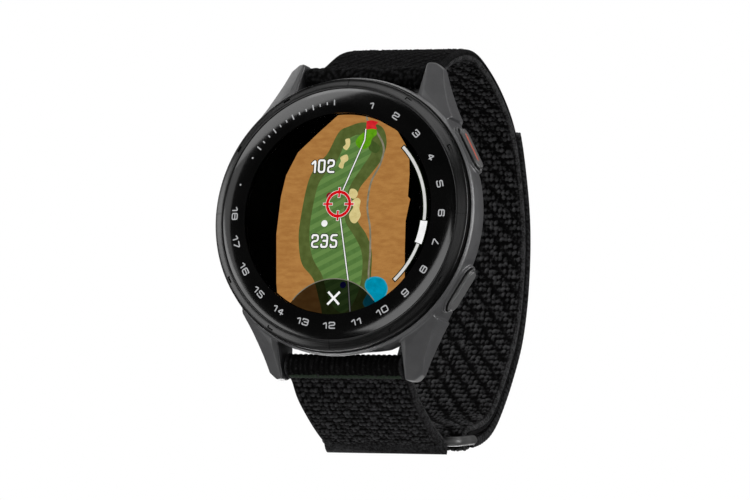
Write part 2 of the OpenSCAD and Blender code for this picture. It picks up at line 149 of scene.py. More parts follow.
class Look:
    """A material whose colour, roughness and relief come from nodes; constant values go on the shader's sockets."""

    def __init__(self, name, **fixed):
        self.material = bpy.data.materials.new(name)
        self.material.use_nodes = True
        self.tree = self.material.node_tree
        self.shader = self.tree.nodes["Principled BSDF"]
        self.object = self.node("TexCoord").outputs["Object"]
        for socket, value in fixed.items():
            self.shader.inputs[socket.replace("_", " ")].default_value = value

    def node(self, kind, inputs=None, **settings):
        made = self.tree.nodes.new("ShaderNode" + kind)
        for key, value in settings.items():
            setattr(made, key, value)
        for key, value in (inputs or {}).items():
            if isinstance(value, bpy.types.NodeSocket):
                self.tree.links.new(value, made.inputs[key])
            else:
                made.inputs[key].default_value = value
        return made

    def math(self, operation, *values):
        return self.node("Math", dict(enumerate(values)), operation=operation).outputs[0]

    def stretched(self, *scale):
        """Object coordinates in mm, scaled along each axis."""
        return self.node("Mapping", {"Vector": self.object, "Scale": [v / MM for v in scale]}).outputs[0]

    def noise(self, size, detail=2.0, vector=None):
        """Noise whose lumps are about size mm, or size units of the given vector."""
        scale = 1 / size if vector is not None else 1 / (size * MM)
        return self.node("TexNoise", {"Vector": vector or self.object, "Scale": scale, "Detail": detail}).outputs[0]

    def mix(self, factor, low, high):
        made = self.node("Mix", data_type="RGBA")
        for socket, value in ((0, factor), (6, low), (7, high)):
            if isinstance(value, bpy.types.NodeSocket):
                self.tree.links.new(value, made.inputs[socket])
            else:
                made.inputs[socket].default_value = value
        return made.outputs[2]

    def span(self, value, from_low, from_high, low, high):
        return self.node("MapRange", {"Value": value, "From Min": from_low, "From Max": from_high,
                                      "To Min": low, "To Max": high}).outputs[0]

    def set(self, **links):
        for socket, value in links.items():
            self.tree.links.new(value, self.shader.inputs[socket.replace("_", " ")])
        return self

    def relief(self, height, depth):
        """Bump of the given depth in mm."""
        return self.set(Normal=self.node("Bump", {"Height": height, "Distance": depth * MM,
                                                  "Strength": 1.0}).outputs[0])


def grained(name, low, high, grain=0.25, rough=(0.4, 0.55), depth=0.008, **fixed):
    """Two close tones in soft patches, with fine grain in roughness and relief."""
    look = Look(name, **fixed)
    patches = look.span(look.noise(grain * 12, 3.0), 0.35, 0.65, 0.0, 1.0)
    fine = look.noise(grain, 3.0)
    look.set(Base_Color=look.mix(patches, srgb(*low), srgb(*high)), Roughness=look.span(fine, 0.3, 0.7, *rough))
    return look.relief(fine, depth).material


def brushed(name, low, high):
    """Metal turned on a lathe: fine rings round the dial's axis."""
    rough = (0.24, 0.32)
    look = Look(name, Metallic=1.0)
    axes = look.node("SeparateXYZ", {"Vector": look.stretched(1, 1, 1)}).outputs
    radius = look.math("SQRT", look.math("ADD", look.math("MULTIPLY", axes[0], axes[0]),
                                         look.math("MULTIPLY", axes[2], axes[2])))
    angle = look.math("ARCTAN2", axes[2], axes[0])
    rings = look.node("CombineXYZ", {"X": look.math("MULTIPLY", radius, 40.0),
                                     "Y": look.math("MULTIPLY", angle, 5.0),
                                     "Z": look.math("MULTIPLY", axes[1], 40.0)}).outputs[0]
    streak = look.noise(1.0, 3.0, rings)
    look.set(Base_Color=look.mix(look.span(streak, 0.3, 0.7, 0.0, 1.0), srgb(*low), srgb(*high)),
             Roughness=look.span(streak, 0.3, 0.7, *rough))
    return look.relief(streak, 0.001).material


def glowing(name, low, high, patch, strength=1.0, stripes=None, alpha=1.0, streak=1.0):
    """A self-lit print whose tone wanders between two colours; stripes are (rise, period, start, colour)."""
    look = Look(name, Base_Color=(0, 0, 0, 1), Roughness=0.6, Specular_IOR_Level=0.0,
                Emission_Strength=strength, Alpha=alpha)
    spots = look.noise(patch, 4.0, look.stretched(1 / streak, 1, 1))
    tone = look.mix(look.span(spots, 0.35, 0.65, 0.0, 1.0), srgb(*low), srgb(*high))
    if stripes:
        rise, period, start, colour = stripes
        axes = look.node("SeparateXYZ", {"Vector": look.stretched(1, 1, 1)}).outputs
        across = look.math("SUBTRACT", axes[2], look.math("MULTIPLY", axes[0], rise))
        phase = look.math("FRACT", look.math("DIVIDE", look.math("SUBTRACT", across, start), period))
        tone = look.mix(look.math("LESS_THAN", phase, 0.5), tone, srgb(*colour))
    return look.set(Emission_Color=tone).material


def knit_look(name, low, high):
    """Knitted yarn: painted shade between the stitches and painted light on them, from the height attribute, broken up
    by yarn and fibres.
    """
    look = Look(name, Roughness=0.95, Sheen_Weight=0.0, Sheen_Roughness=0.5, Specular_IOR_Level=0.06)
    height = look.node("Attribute", attribute_name="height").outputs["Fac"]
    yarn = look.span(look.noise(0.3, 2.0), 0.3, 0.7, -0.22, 0.22)
    patch = look.span(look.noise(1.1, 1.0), 0.3, 0.7, -0.12, 0.12)
    fibre = look.noise(0.09, 3.0)
    lit = look.math("ADD", look.math("ADD", height, yarn), patch)
    # the height attribute carries painted shade and light by relief: low is the shaded colour between stitches, high
    # the lit colour on them
    look.set(Base_Color=look.mix(look.span(lit, 0.25, 1.0, 0.0, 1.0), srgb(*low), srgb(*high)))
    both = look.math("ADD", look.math("MULTIPLY", yarn, 1.6), look.math("MULTIPLY", fibre, 0.7))
    return look.relief(both, 0.09).material


def cap_look(side):
    """Button metal on a button's face, with painted shade, near black, down its walls for the dark recess round the
    button.
    """
    low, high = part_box(side + "_button")
    outward = Vector(((low.x + high.x) / 2, 0, (low.z + high.z) / 2)).normalized()
    top = max(outward.dot(v.co) for v in nodes[side + "_button"].data.vertices) / MM
    look = Look(side + "_cap_look", Metallic=0.4)
    rise = look.node("VectorMath", {0: look.stretched(1, 1, 1), 1: outward}, operation="DOT_PRODUCT").outputs["Value"]
    fine = look.noise(0.12, 3.0)
    # below the face the walls get painted shade, srgb 6, in place of the shadow in the recess round the button
    face = look.span(rise, top - 0.5, top - 0.3, 0.0, 1.0)
    tone = look.mix(fine, srgb(72, 72, 72), srgb(86, 86, 86))
    look.set(Base_Color=look.mix(face, srgb(6, 6, 6), tone), Roughness=look.span(fine, 0.3, 0.7, 0.32, 0.44))
    return look.relief(fine, 0.004).material


def glass_look():
    """The clear cover; its index is below real glass, so that lights don't wash out the screen."""
    look = Look("glass_look", Transmission_Weight=1.0, IOR=1.12, Base_Color=(1, 1, 1, 1))
    haze = look.noise(2.0, 2.0)
    look.set(Roughness=look.span(haze, 0.3, 0.7, 0.0, 0.004))
    return look.material


LOOKS = {
    "case_polymer": grained("case_polymer_look", (46, 46, 47), (52, 52, 53), 0.16, (0.36, 0.5), 0.006,
                            Specular_IOR_Level=0.5),
    "bezel_metal": brushed("bezel_metal_look", (44, 44, 44), (51, 51, 51)),
    "seal_rubber": grained("seal_rubber_look", (16, 16, 17), (24, 24, 25), 0.3, (0.6, 0.8)),
    "dial_black": grained("dial_black_look", (3, 3, 3), (5, 5, 5), 0.2, (0.5, 0.6), 0.002, Specular_IOR_Level=0.0),
    "display": grained("display_look", (0, 0, 0), (1, 1, 1), 0.4, (0.4, 0.5), 0.0005, Specular_IOR_Level=0.0),
    "frame_plastic": grained("frame_plastic_look", (38, 42, 45), (50, 54, 58)),
    "flex_circuit": grained("flex_circuit_look", (150, 90, 30), (180, 118, 42), 0.4),
    "antenna_metal": grained("antenna_metal_look", (168, 134, 82), (190, 156, 100), 0.2, (0.25, 0.4),
                             Metallic=1.0),
    "circuit_board": grained("circuit_board_look", (18, 74, 46), (32, 98, 62), 0.3, (0.3, 0.45)),
    "shield_metal": grained("shield_metal_look", (168, 170, 172), (196, 198, 200), 0.3, (0.25, 0.4),
                            Metallic=1.0),
    "battery_foil": grained("battery_foil_look", (140, 145, 150), (166, 170, 175), 0.5, (0.3, 0.5),
                            Metallic=0.6),
    "motor_metal": grained("motor_metal_look", (176, 178, 182), (206, 208, 212), 0.2, (0.2, 0.35),
                           Metallic=1.0),
    "led_lens": grained("led_lens_look", (66, 140, 52), (104, 188, 84), 0.3, (0.1, 0.2), 0.001),
    "sensor_glass": grained("sensor_glass_look", (9, 9, 10), (14, 14, 16), 0.5, (0.05, 0.09), 0.0005),
    "rear_polymer": grained("rear_polymer_look", (30, 31, 33), (38, 39, 41), 0.14, (0.4, 0.55), 0.006),
    "screw_steel": grained("screw_steel_look", (130, 132, 136), (160, 162, 166), 0.1, (0.25, 0.4),
                           Metallic=1.0),
    "pin_gold": grained("pin_gold_look", (206, 164, 70), (228, 188, 92), 0.1, (0.2, 0.3), Metallic=1.0),
    "button_metal": grained("button_metal_look", (62, 62, 62), (74, 74, 74), 0.12, (0.3, 0.42), 0.004,
                            Metallic=0.4),
    "accent_orange": grained("accent_orange_look", (142, 54, 34), (164, 68, 44), 0.1, (0.4, 0.5), 0.002),
    "spring_steel": grained("spring_steel_look", (180, 182, 186), (200, 202, 206), 0.1, (0.2, 0.3),
                            Metallic=1.0),
    "switch_plastic": grained("switch_plastic_look", (205, 202, 194), (222, 219, 211)),
    "bar_steel": grained("bar_steel_look", (130, 133, 138), (164, 167, 172), 0.1, (0.2, 0.35), Metallic=1.0),
    "hook_tape": grained("hook_tape_look", (10, 10, 11), (22, 22, 23), 0.12, (0.7, 0.9), 0.05),
    "ring_metal": grained("ring_metal_look", (47, 47, 47), (60, 60, 60), 0.15, (0.42, 0.54), 0.004,
                          Metallic=0.4),
    "strap_knit": knit_look("strap_knit_look", (2, 2, 2), (45, 45, 46)),
    "glass": glass_look(),
}
FINE_KNIT = knit_look("fine_knit_look", (0, 0, 0), (22, 22, 23))
INNER_KNIT = knit_look("inner_knit_look", (3, 3, 3), (61, 61, 62))
SEAM = knit_look("strap_seam_look", (32, 40, 32), (62, 72, 61))
slot_of = {part["node"]: part["material_slot"] for part in frame["record"]["subparts"]}
for node_name, node_object in nodes.items():
    node_object.data.materials.clear()
    node_object.data.materials.append(LOOKS[slot_of[node_name]])


# ---- mesh helpers ----
def case_point(x, y, z):
    """Case frame in mm to row frame in metres."""
    return (x * MM, (face_y - z) * MM, y * MM)


def piece(name, verts, faces, body, look, slot, replaces=(), smooth=True):
    """A new piece from points in metres, riding on a body."""
    mesh = bpy.data.meshes.new(name)
    mesh.from_pydata([tuple(v) for v in verts], [], faces)
    mesh.materials.append(look)
    mesh.update()
    level = [abs(face.normal.y) > 0.9999 for face in mesh.polygons]      # faces parallel to the dial stay flat
    mesh.polygons.foreach_set("use_smooth", [smooth and not flat for flat in level])
    made = bpy.data.objects.new(name, mesh)
    scene.collection.objects.link(made)
    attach(made, body)
    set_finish(made, slot)
    if replaces:
        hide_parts(*replaces)
    return made


def softened(name, node, voxel, passes, body, most=190000, look=None):
    """A copy of a CAD node with its edges rounded by a voxel skin, under a number of triangles."""
    copy = bpy.data.objects.new(name + "_raw", nodes[node].data.copy())
    copy.data.transform(Matrix.Scale(1 / MM, 4))
    scene.collection.objects.link(copy)
    skin = copy.modifiers.new("skin", "REMESH")
    skin.mode, skin.voxel_size = "VOXEL", voxel
    soften = copy.modifiers.new("soften", "SMOOTH")
    soften.factor, soften.iterations = 0.5, passes
    graph = bpy.context.evaluated_depsgraph_get()
    count = 2 * len(copy.evaluated_get(graph).data.polygons)
    if count > most:
        thin = copy.modifiers.new("thin", "DECIMATE")
        thin.ratio = most / count
        graph = bpy.context.evaluated_depsgraph_get()
    mesh = bpy.data.meshes.new_from_object(copy.evaluated_get(graph))
    mesh.transform(Matrix.Scale(MM, 4))
    bpy.data.objects.remove(copy)
    mesh.name = name
    mesh.materials.clear()
    mesh.materials.append(look or LOOKS[slot_of[node]])
    mesh.polygons.foreach_set("use_smooth", [True] * len(mesh.polygons))
    made = bpy.data.objects.new(name, mesh)
    scene.collection.objects.link(made)
    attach(made, body)
    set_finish(made, slot_of[node])
    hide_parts(node)
    return made


def lathe(name, profile, angles, body, slot, replaces, carve=None, look=None):
    """A closed ring turned round the dial's axis from a closed (r, z) profile; carve(r, z, angle) lowers points."""
    count, rows = len(angles), len(profile)
    verts, drops = [], []
    for angle in angles:
        for r, z in profile:
            drop = carve(r, z, angle) if carve else 0.0
            drops.append(drop)
            verts.append(case_point(r * math.cos(angle), r * math.sin(angle), z - drop))
    faces = []
    for i in range(count):
        j = (i + 1) % count
        for k in range(rows):
            m = (k + 1) % rows
            faces.append((i * rows + k, j * rows + k, j * rows + m, i * rows + m))
    made = piece(name, verts, faces, body, look or LOOKS[slot], slot, replaces)
    if carve:
        for face in made.data.polygons:
            if len({drops[v] for v in face.vertices}) > 1:
                face.use_smooth = False
    made.data.set_sharp_from_angle(angle=math.radians(28))
    level = made.modifiers.new("level", "WEIGHTED_NORMAL")
    level.keep_sharp = True
    return made


# ---- case, bezel and glass ----
def arc(cx, cy, rx, ry, start, stop, steps):
    """Points of an elliptical arc, angles in degrees."""
    return [(cx + rx * math.cos(math.radians(a)), cy + ry * math.sin(math.radians(a)))
            for a in np.linspace(start, stop, steps + 1)]


def make_bezel():
    """The profile's corners are rounded; hour notches and quarter lines are carved at exact angles."""
    inner, foot = bezel_inner, bezel_low
    profile = [(inner, foot), (bezel_r - 0.15, foot), (bezel_r - 0.02, foot + 0.1), (bezel_r, foot + 0.3)]
    profile += [(bezel_r, z) for z in (9.6, 10.1)]
    profile += arc(bezel_r - 0.18, 10.17, 0.18, 0.18, 0, 64, 4)
    top = [(20.45, 10.45), (20.2, 10.585), (20.16, 10.605), (19.78, 10.78), (19.74, 10.8), (19.45, 10.93)]
    profile += top + [(inner + 0.16, 11.02), (inner + 0.08, 11.03), (inner + 0.02, 10.99)]
    profile += [(inner, 10.5)]
    edges = []
    for hour in range(12):
        centre = math.radians(30 * hour)
        half = (0.06 if hour % 3 == 0 else 0.5) / 20
        edges += [centre + s * (half + d) for s in (-1, 1) for d in (0.0, 0.0015)]
    angles = sorted({round(a % (2 * math.pi), 6) for a in
                     list(np.linspace(0, 2 * math.pi, 360, endpoint=False) + 0.004) + edges})

    def carve(r, z, angle):
        if z < 10.3:
            return 0.0
        hour = round(angle / math.radians(30))
        quarter = hour % 3 == 0
        half = (0.06 if quarter else 0.5) / 20
        inside = abs(angle - hour * math.radians(30)) < half + 1e-5
        if quarter:
            return 0.1 if inside and r > 19.0 else 0.0
        return 0.22 if inside and 19.76 < r < 20.18 else 0.0

    return lathe("bezel_ring", profile, angles, "watch_case", "bezel_metal", ["bezel"], carve)


CROWN_R, CROWN_LOW = 15.6, glass_top - 0.44      # the glass bends down outside this radius, to this level at its rim


def crown(r):
    """Level of the glass's top at a distance from the dial's centre."""
    if r <= CROWN_R:
        return glass_top
    share = min(1.0, (r - CROWN_R) / (cover_r - CROWN_R))
    return glass_top - (glass_top - CROWN_LOW) * share ** 2.5


def make_glass():
    """A clear disc over the screen inside a black-backed rim that carries the hour print."""
    low = face_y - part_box("lens")[1].y / MM
    split = screen_r + 0.1
    angles = list(np.linspace(0, 2 * math.pi, 256, endpoint=False))
    rim = [(r, crown(r)) for r in np.linspace(cover_r, CROWN_R, 16)]
    lathe("glass_rim", [(split, low), (cover_r - 0.05, low), (cover_r, low + 0.05)] + rim + [(split, glass_top)],
          angles, "watch_case", "glass", [], look=grained("glass_rim_look", (4, 4, 4), (6, 6, 6), 0.4, (0.1, 0.13),
                                                          0.0, Specular_IOR_Level=0.3))
    lip = bezel_inner - 0.005
    lathe("glass_seal", [(cover_r + 0.01, low), (lip, low), (lip, CROWN_LOW - 0.1), (cover_r + 0.01, CROWN_LOW - 0.1)],
          angles, "watch_case", "seal_rubber", [])
    flats = [split, 12, 6, 0.001]
    return lathe("glass_cover", [(r, glass_top) for r in flats] + [(r, low) for r in reversed(flats)], angles,
                 "watch_case", "glass", ["lens"])


# ---- flat shapes of the dial and the display, drawn in case-frame (x, y) ----
def rounded(points, radius):
    """The open line through points with its inner corners rounded."""
    steps = 4
    out = [points[0]]
    for before, here, after in zip(points, points[1:], points[2:]):
        a, b, c = (np.array(p, float) for p in (before, here, after))
        cut = min(radius, 0.49 * np.linalg.norm(a - b), 0.49 * np.linalg.norm(c - b))
        start = b + (a - b) / np.linalg.norm(a - b) * cut
        stop = b + (c - b) / np.linalg.norm(c - b) * cut
        for t in np.linspace(0, 1, steps + 1):
            out.append(tuple((1 - t) ** 2 * start + 2 * t * (1 - t) * b + t * t * stop))
    return out + [points[-1]]


def smooth_loop(points, steps=8):
    """A closed Catmull-Rom curve through the points."""
    p = np.array(points, float)
    out = []
    for i in range(len(p)):
        a, b, c, d = p[i - 1], p[i], p[(i + 1) % len(p)], p[(i + 2) % len(p)]
        for t in np.arange(steps) / steps:
            out.append(tuple(0.5 * (2 * b + (c - a) * t + (2 * a - 5 * b + 4 * c - d) * t ** 2
                                    + (3 * b - a - 3 * c + d) * t ** 3)))
    return out


def smooth_line(points, steps=8):
    """An open Catmull-Rom curve through the points."""
    p = [points[0]] + list(points) + [points[-1]]
    loop = smooth_loop(p, steps)
    return loop[steps:steps * (len(p) - 2)] + [points[-1]]


def within(points, radius):
    """Points beyond a circle are pulled onto it, after long edges are divided."""
    dense = []
    for a, b in zip(points, points[1:] + points[:1]):
        n = max(1, int(math.dist(a, b) / 0.3))
        dense += [(a[0] + (b[0] - a[0]) * k / n, a[1] + (b[1] - a[1]) * k / n) for k in range(n)]
    return [(x * min(1, radius / math.hypot(x, y)), y * min(1, radius / math.hypot(x, y))) if x or y else (x, y)
            for x, y in dense]


def plates(name, outlines, level, look, slot="display", thick=0.006):
    """Flat plates with given outlines in mm, their tops at a level of the case frame."""
    verts, faces = [], []
    for outline in outlines:
        area = sum(a[0] * b[1] - b[0] * a[1] for a, b in zip(outline, outline[1:] + outline[:1]))
        ring = outline if area > 0 else outline[::-1]
        base, n = len(verts), len(ring)
        for sink in (0, thick):
            verts += [case_point(x, y, (level(math.hypot(x, y)) if callable(level) else level) - sink)
                      for x, y in ring]
        faces += [tuple(range(base, base + n)), tuple(range(base + 2 * n - 1, base + n - 1, -1))]
        faces += [(base + k, base + n + k, base + n + (k + 1) % n, base + (k + 1) % n) for k in range(n)]
    return piece(name, verts, faces, "watch_case", look, slot, smooth=False)


def ribbon(points, width, closed=False, ends=0.0):
    """The outline of a line of a given width, with mitred corners; ends lengthens both ends."""
    p = [np.array(q, float) for q in points]
    if ends and not closed:
        p[0] = p[0] + (p[0] - p[1]) / np.linalg.norm(p[0] - p[1]) * ends
        p[-1] = p[-1] + (p[-1] - p[-2]) / np.linalg.norm(p[-1] - p[-2]) * ends
    left, right = [], []
    for i, q in enumerate(p):
        before = p[i - 1] if (i or closed) else None
        after = p[(i + 1) % len(p)] if (i < len(p) - 1 or closed) else None
        d = [v / np.linalg.norm(v) for v in ([q - before] if before is not None else [])
             + ([after - q] if after is not None else [])]
        n = sum(np.array((-v[1], v[0])) for v in d)
        n = n / np.linalg.norm(n)
        n = n / max(0.5, float(np.dot(n, (-d[0][1], d[0][0]))))
        left.append(tuple(q + n * width / 2))
        right.append(tuple(q - n * width / 2))
    if closed:      # two half rings, so that each outline is simple
        h = len(p) // 2
        return [left[:h + 1] + right[:h + 1][::-1], left[h:] + left[:1] + right[:1] + right[h:][::-1]]
    return [left + right[::-1]]


def disc(x, y, r, steps=40):
    return [(x + r * math.cos(2 * math.pi * k / steps), y + r * math.sin(2 * math.pi * k / steps))
            for k in range(steps)]


DIGITS = {      # lines of each digit in a box one unit wide and high; a closed line repeats its first point
    "0": [[(0.5, 1), (1, 1), (1, 0), (0, 0), (0, 1), (0.5, 1)]],
    "1": [[(0.1, 0.72), (0.62, 1), (0.62, 0)]],
    "2": [[(0, 0.76), (0, 1), (1, 1), (1, 0.52), (0, 0.46), (0, 0), (1, 0)]],
    "3": [[(0, 0.8), (0, 1), (1, 1), (1, 0), (0, 0), (0, 0.2)], [(0.3, 0.52), (1, 0.52)]],
    "4": [[(1, 0.26), (0, 0.26), (0.68, 1), (0.68, 0)]],
    "5": [[(0.98, 1), (0.05, 1), (0, 0.56), (1, 0.56), (1, 0), (0, 0), (0, 0.18)]],
    "6": [[(0.98, 0.84), (0.98, 1), (0, 1), (0, 0), (1, 0), (1, 0.56), (0, 0.56)]],
    "7": [[(0, 1), (1, 1), (0.35, 0)]],
    "8": [[(0.5, 1), (1, 1), (1, 0), (0, 0), (0, 1), (0.5, 1)], [(0, 0.53), (1, 0.53)]],
    "9": [[(0.02, 0.16), (0.02, 0), (1, 0), (1, 1), (0, 1), (0, 0.44), (1, 0.44)]],
}


def strokes(points, width):
    """A line of a given width as a strip for each step and a disc at each joint."""
    outlines = [disc(x, y, width / 2, 12) for x, y in points]
    for a, b in zip(points, points[1:]):
        run = math.dist(a, b)
        if run > 1e-6:
            n = ((a[1] - b[1]) / run * width / 2, (b[0] - a[0]) / run * width / 2)
            outlines.append([(a[0] + n[0], a[1] + n[1]), (b[0] + n[0], b[1] + n[1]), (b[0] - n[0], b[1] - n[1]),
                             (a[0] - n[0], a[1] - n[1])])
    return outlines


def number(text, x, y, turn, height, width, gap, stroke, corner=0.22):
    """Outlines of a number centred on a point; turn in degrees, width of one digit's lines in mm."""
    advances = [width * (0.5 if c == "1" else 1.0) for c in text]
    total = sum(advances) + gap * (len(text) - 1)
    cos, sin = math.cos(math.radians(turn)), math.sin(math.radians(turn))
    outlines, pen = [], -total / 2
    for c, advance in zip(text, advances):
        shift = -0.12 * width if c == "1" else 0.0
        for line in DIGITS[c]:
            flat = rounded([(pen + shift + u * width, (v - 0.5) * height) for u, v in line], corner)
            for outline in strokes(flat, stroke):
                outlines.append([(x + a * cos - b * sin, y + a * sin + b * cos) for a, b in outline])
        pen += advance + gap
    return outlines


def make_dial():
    # the printed numbers and marks glow as painted light, standing in for the lamp light that the glass above keeps
    # from them
    print_glow_look = glowing("dial_print_glow_look", (196, 197, 199), (214, 215, 217), 0.5, 0.72)
    outlines = []
    for n in range(1, 19):
        angle = 90 - 15 * n
        turn = angle - 90 if n <= 6 else angle + 90
        x, y = 16.97 * math.cos(math.radians(angle)), 16.97 * math.sin(math.radians(angle))
        outlines += number(str(n), x, y, turn, 0.86, 0.9, 0.46, 0.17)
    for angle in range(96, 145, 4):     # plain marks where the dial carries no numbers
        radial = math.radians(angle)
        reach = 0.42 if angle % 12 == 0 else 0.22
        outlines += ribbon([(r * math.cos(radial), r * math.sin(radial)) for r in (16.97 - reach, 16.97 + reach)],
                           0.18)
    outlines += [disc(16.97 * math.cos(a), 16.97 * math.sin(a), 0.14, 16) for a in np.radians([150, 165])]
    return plates("dial_numbers", outlines, lambda r: crown(r) + 0.012, print_glow_look, "glass", 0.03)


def make_display():
    """The course map as thin self-lit layers over the black panel."""
    level = [screen_top + 0.008 * k for k in range(1, 12)]
    white = glowing("map_white_look", (236, 236, 236), (250, 250, 250), 1.0)
    ink = glowing("map_ink_look", (14, 20, 10), (26, 34, 18), 1.0)

    def layer(name, outlines, k, look):
        moved = [[(x - 0.22, y + 0.1) for x, y in o] for o in outlines]
        return plates(name, [within(o, screen_r) for o in moved], level[k], look)

    sand = [(-0.9, 15.4), (3.1, 15.4), (8.6, 12.6), (10.0, 10.6), (10.8, 9.2), (11.1, 6.0), (11.1, 2.6), (11.5, 2.2),
            (11.0, -1.1), (11.2, -5.5), (11.5, -9.6), (8, -14), (0, -15.4), (-8, -14), (-9.2, -12.3), (-9.5, -10.5),
            (-10.1, -3.1), (-9.8, 2.6), (-9.2, 5.9), (-7.5, 9.4), (-4.3, 12.4)]
    layer("map_ground", [sand], 0, glowing("map_ground_look", (160, 110, 57), (174, 124, 67), 0.5, streak=3))
    rough = smooth_loop([(3.0, 13.9), (0.6, 13.3), (-1, 12.4), (-2.6, 9.2), (-4.2, 7.5), (-5.5, 4.7), (-6.3, -1),
                         (-6.3, -4.3), (-5.5, -7.6), (-3.4, -10), (-2, -13.7), (-0.5, -17), (5, -17), (6, -13),
                         (6, -9.2), (5.8, -5.6), (4.7, -3.1), (3.1, -1), (2.6, 1.4), (3.1, 3.8), (4.7, 5.9),
                         (6.4, 8.3), (7, 10.8), (6, 13.2)])
    layer("map_rough", [rough], 1, glowing("map_rough_look", (74, 86, 40), (86, 99, 50), 1.0))
    fairway = smooth_loop([(2.6, 12.0), (0.9, 11.5), (0.1, 10.4), (-1.2, 7.6), (-2.8, 6.0), (-3.9, 3.9), (-4.6, -1),
                           (-4.5, -4.2), (-3.7, -6.9), (-2.0, -9.4), (-0.5, -13.2), (1.5, -15.0), (3.1, -14.0),
                           (4.2, -11.4), (4.5, -8.2), (4.1, -5.6), (2.8, -3.4), (1.2, -1.2), (0.9, 1.6),
                           (1.6, 4.4), (3.3, 7.1), (4.6, 9.2), (4.8, 10.8)])
    layer("map_fairway", [fairway], 2, glowing("map_fairway_look", (79, 113, 56), (85, 120, 62), 0.8,
                                               stripes=(0.5, 1.6, -8.12, (98, 132, 70))))
    path = [(3.4, 14.9), (3.8, 13.9), (5.4, 12.2), (6.6, 10), (6.2, 7.5), (4.9, 4.7), (4.6, 1), (5.3, -2.3),
            (5.6, -6), (5.6, -9.2), (6.2, -14)]
    layer("map_path", ribbon(smooth_line(path, 6), 0.3), 3, glowing("map_path_look", (118, 112, 92), (140, 134, 118),
                                                                    0.8))
    bunkers = [[(0.2, 11.3), (0.9, 11.4), (1.0, 10.4), (0.5, 9.7), (-0.1, 10.1), (0.3, 10.6)],
               [(0.6, 9.0), (0.9, 8.2), (0.3, 7.7), (0.1, 6.9), (-0.6, 7.2), (-0.3, 8.0), (-0.4, 8.6)],
               [(1.6, 3.7), (2.4, 3.7), (2.9, 3.0), (2.4, 2.3), (1.5, 2.6)],
               [(2.7, 2.4), (3.4, 2.0), (3.3, 0.8), (3.6, -0.3), (2.9, -1.4), (2.1, -1.2), (1.7, -0.1), (2.3, 1.0),
                (1.8, 1.6)]]
    layer("map_bunkers", [smooth_loop(b) for b in bunkers], 3,
          glowing("map_bunkers_look", (204, 188, 126), (218, 203, 142), 0.7))
    shade = [smooth_loop([(4.2, 11.2), (5.2, 10.8), (6.0, 10.0), (5.4, 9.2), (4.2, 9.8)])]
    layer("map_shade", shade, 3, glowing("map_shade_look", (60, 78, 34), (68, 88, 40), 0.7))
    green = [smooth_loop([(3.2, 12.4), (4.0, 12.9), (5.0, 12.9), (5.3, 12.1), (4.6, 11.4), (4.3, 10.4), (3.4, 9.8),
                          (2.4, 10.1), (1.9, 10.9), (2.3, 11.7)])]
    layer("map_green", green, 4, glowing("map_green_look", (78, 142, 14), (98, 158, 24), 0.7))
    water = smooth_loop([(5.4, -9.9), (6.8, -9.5), (8.2, -10.0), (8.9, -11.4), (8.3, -12.9), (7.0, -13.9),
                         (5.6, -14.2), (5.0, -13.4), (5.6, -12.0), (5.1, -11.0)])
    layer("map_water_edge", [water], 3, glowing("map_water_edge_look", (28, 140, 168), (46, 158, 186), 0.8))
    inner_water = [(6.9 + (x - 6.9) * 0.9, -11.7 + (y + 11.7) * 0.91) for x, y in water]
    layer("map_water", [inner_water], 4, glowing("map_water_look", (0, 128, 156), (0, 146, 178), 1.0))
    flag = [(3.5, 14.1), (4.3, 14.2), (5.2, 14.0), (5.4, 13.9), (5.0, 13.4), (5.3, 12.8), (4.4, 12.9), (3.5, 12.8)]
    layer("map_flag", [flag], 6, glowing("map_flag_look", (196, 28, 36), (212, 44, 50), 0.6))
    red = glowing("map_red_look", (200, 10, 20), (214, 18, 28), 0.8)
    line = [[(3.45, 12.9), (3.4, 11.2), (0.4, 3.6)], [(0.3, -0.7), (2.3, -10), (3, -14.8)]]
    layer("map_line_edge", [o for l in line for o in ribbon(l, 0.34)], 5, ink)
    layer("map_line", [o for l in line for o in ribbon(l, 0.17)], 6, white)
    layer("map_dots", [disc(-2.25, -1.47, 0.5)], 6, white)
    layer("map_mark", [disc(-1.7, 2.7, 0.55)], 6, glowing("map_mark_look", (120, 20, 34), (130, 26, 40), 0.8))
    layer("map_pin", [disc(1.55, -10.8, 0.5)], 7, glowing("map_pin_look", (26, 26, 96), (34, 34, 112), 0.8))
    cross = (-0.16, 1.47)
    ring = disc(*cross, 1.84, 56)
    ticks = [[(cross[0] + r * math.cos(a), cross[1] + r * math.sin(a)) for r in (1.0, 2.5)]
             for a in np.radians([0, 90, 180, 270])]
    layer("map_cross_edge", ribbon(ring, 0.56, True) + [o for t in ticks for o in ribbon(t, 0.42, ends=0.06)], 7, white)
    layer("map_cross", ribbon(ring, 0.46, True) + [o for t in ticks for o in ribbon(t, 0.3)], 8, red)
    sizes = {"text": "102", "x": -3.15, "y": 7.25}, {"text": "235", "x": -2.05, "y": -4.15}
    for name, grow, k, look in (("map_figures_edge", 0.26, 7, ink), ("map_figures", 0.0, 8, white)):
        outlines = []
        for s in sizes:
            outlines += number(s["text"], s["x"], s["y"], 0, 1.78, 0.92, 0.62, 0.3 + grow, 0.38)
        layer(name, outlines, k, look)
    shadow = glowing("map_shadow_look", (0, 0, 0), (3, 3, 2), 1.0, alpha=0.68)
    back = disc(0.1, -18.3, 8.45, 160)
    layer("map_menu", [back], 8, shadow)
    upper = [(0.1 + 8.45 * math.cos(a), -18.3 + 8.45 * math.sin(a)) for a in np.radians(np.linspace(38, 142, 60))]
    layer("map_menu_rim", ribbon(upper, 0.14), 9, glowing("map_menu_rim_look", (112, 110, 96), (126, 124, 110), 1.0))
    close = [[(0.16 - s * 0.95, -12.8 - 0.95), (0.16 + s * 0.95, -12.8 + 0.95)] for s in (-1, 1)]
    layer("map_close", [o for c in close for o in ribbon(c, 0.34)], 9, white)

    def scroll(start, stop):
        return [(14.05 * math.cos(a), 14.05 * math.sin(a)) for a in np.radians(np.linspace(start, stop, 60))]

